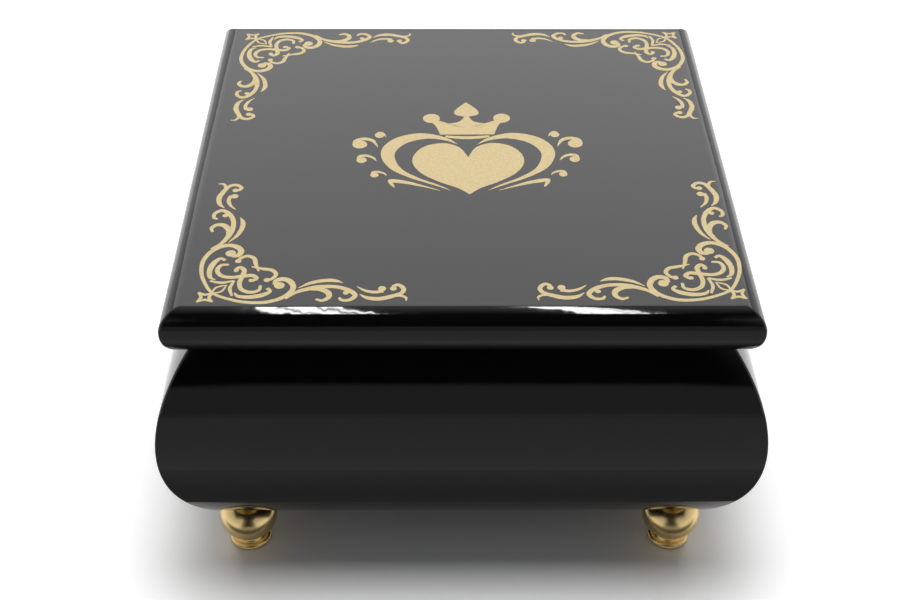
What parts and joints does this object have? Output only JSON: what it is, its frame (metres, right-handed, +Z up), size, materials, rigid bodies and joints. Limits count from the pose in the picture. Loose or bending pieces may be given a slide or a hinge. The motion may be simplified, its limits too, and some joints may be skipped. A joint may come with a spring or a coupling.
{
  "type": "music box",
  "caption": "Square bulge-sided musical jewellery box in black lacquer: hinged lid with a gilt heart print, turned brass feet, velvet-lined compartment and a wind-up cylinder movement.",
  "frame": {"origin": "on the table, under the middle of the box", "axes": "+Z up; -Y towards the front edge, where the lid opens; the hinges are at +Y"},
  "size_m": [0.1482, 0.1482, 0.0873],
  "materials": {
    "case_lacquer": "high-gloss black lacquer over wood",
    "lid_lacquer": "high-gloss black lacquer over wood",
    "inner_wood": "satin black paint over wood",
    "foot_brass": "polished",
    "hinge_brass": "polished",
    "brass_screw": "bright",
    "stud_steel": "zinc plated",
    "velvet": "dark red velvet over board",
    "lid_velvet": "padded dark red velvet",
    "clear_acrylic": "clear, polished",
    "bed_metal": "die-cast, gold-bronze lacquer",
    "housing_nickel": "bright nickel plate",
    "comb_steel": "ground and polished",
    "spring_steel": "blued",
    "gear_brass": "machined",
    "cylinder_brass": "polished",
    "pin_steel": "bright",
    "shaft_steel": "ground",
    "key_steel": "bright nickel plate",
    "bracket_steel": "zinc plated",
    "fly_brass": "thin sheet"
  },
  "bodies": {
    "case": {"base_board": "case_lacquer", "wall_front": "case_lacquer", "wall_right": "case_lacquer", "wall_back": "case_lacquer", "wall_left": "case_lacquer", "foot_front_left": "foot_brass", "foot_front_right": "foot_brass", "foot_back_left": "foot_brass", "foot_back_right": "foot_brass", "foot_studs": "stud_steel", "partition": "inner_wood", "cover_cleats": "inner_wood", "clear_cover": "clear_acrylic", "cover_screws": "brass_screw", "lining_front": "velvet", "lining_back": "velvet", "lining_left": "velvet", "lining_right": "velvet", "lining_floor": "velvet", "hinge_leaf_case_left": "hinge_brass", "hinge_leaf_case_right": "hinge_brass", "hinge_pin_left": "hinge_brass", "hinge_pin_right": "hinge_brass", "hinge_screws_case": "brass_screw", "bedplate": "bed_metal", "movement_screws": "stud_steel", "comb": "comb_steel", "comb_screws": "spring_steel", "spring_housing": "housing_nickel", "mainspring": "spring_steel", "bracket_left": "bracket_steel", "bracket_right": "bracket_steel", "governor_frame": "bracket_steel", "small_screws": "bracket_steel", "stop_bracket": "bracket_steel", "stop_bracket_screws": "bracket_steel", "stop_pivot": "bracket_steel", "lever_spring": "spring_steel", "stop_spring": "spring_steel"},
    "lid": {"lid_board": "lid_lacquer", "lid_pad": "lid_velvet", "hinge_leaf_lid_left": "hinge_brass", "hinge_leaf_lid_right": "hinge_brass", "hinge_screws_lid": "brass_screw"},
    "winding": {"winding_arbor": "shaft_steel", "arbor_nut": "key_steel", "winding_key": "key_steel"},
    "drive": {"drive_wheel": "gear_brass", "clutch_spring": "spring_steel"},
    "cylinder_group": {"cylinder": "cylinder_brass", "cylinder_pins": "pin_steel", "cylinder_shaft": "shaft_steel", "cylinder_pinion": "shaft_steel", "cylinder_gear": "gear_brass"},
    "governor": {"governor_wheel": "gear_brass"},
    "fly_group": {"governor_worm": "shaft_steel", "governor_fly": "fly_brass"},
    "pin_group": {"stop_pin": "pin_steel"},
    "lever_group": {"stop_lever": "bracket_steel"}
  },
  "joints": [
    {"name": "lid_hinge", "type": "hinge", "parent": "case", "child": "lid", "pos_m": [0, 0.06654, 0.0743], "axis": [-1, 0, 0], "range_deg": [0, 95]},
    {"name": "winding_key_turn", "type": "hinge", "parent": "case", "child": "winding", "pos_m": [-0.018, 0.033, 0.02], "axis": [0, 0, 1], "continuous": true},
    {"name": "cylinder_turn", "type": "hinge", "parent": "case", "child": "cylinder_group", "pos_m": [0, 0.033, 0.04085], "axis": [1, 0, 0], "continuous": true},
    {"name": "drive_turn", "type": "hinge", "parent": "case", "child": "drive", "pos_m": [-0.018, 0.033, 0.0363], "axis": [0, 0, 1], "continuous": true},
    {"name": "governor_wheel_turn", "type": "hinge", "parent": "case", "child": "governor", "pos_m": [0.0244, 0.03902, 0.03286], "axis": [1, 0, 0], "continuous": true},
    {"name": "fly_turn", "type": "hinge", "parent": "case", "child": "fly_group", "pos_m": [0.025, 0.04512, 0.035], "axis": [0, 0, 1], "continuous": true},
    {"name": "stop_pin_slide", "type": "slide", "parent": "case", "child": "pin_group", "axis": [0, 0, 1], "range_m": [0, 0.003], "deforming": ["stop_spring"]},
    {"name": "stop_lever_turn", "type": "hinge", "parent": "case", "child": "lever_group", "pos_m": [0.0315, 0.0451, 0.049], "axis": [0, -1, 0], "range_deg": [0, 18]}
  ],
  "couplings": [
    {"joint": "drive_turn", "follows": "cylinder_turn", "ratio": 0.38095},
    {"joint": "governor_wheel_turn", "follows": "cylinder_turn", "ratio": -4},
    {"joint": "fly_turn", "follows": "cylinder_turn", "ratio": 48},
    {"joint": "stop_pin_slide", "follows": "lid_hinge", "m_per_rad": 0.001809},
    {"joint": "stop_lever_turn", "follows": "lid_hinge", "ratio": 0.1894}
  ]
}
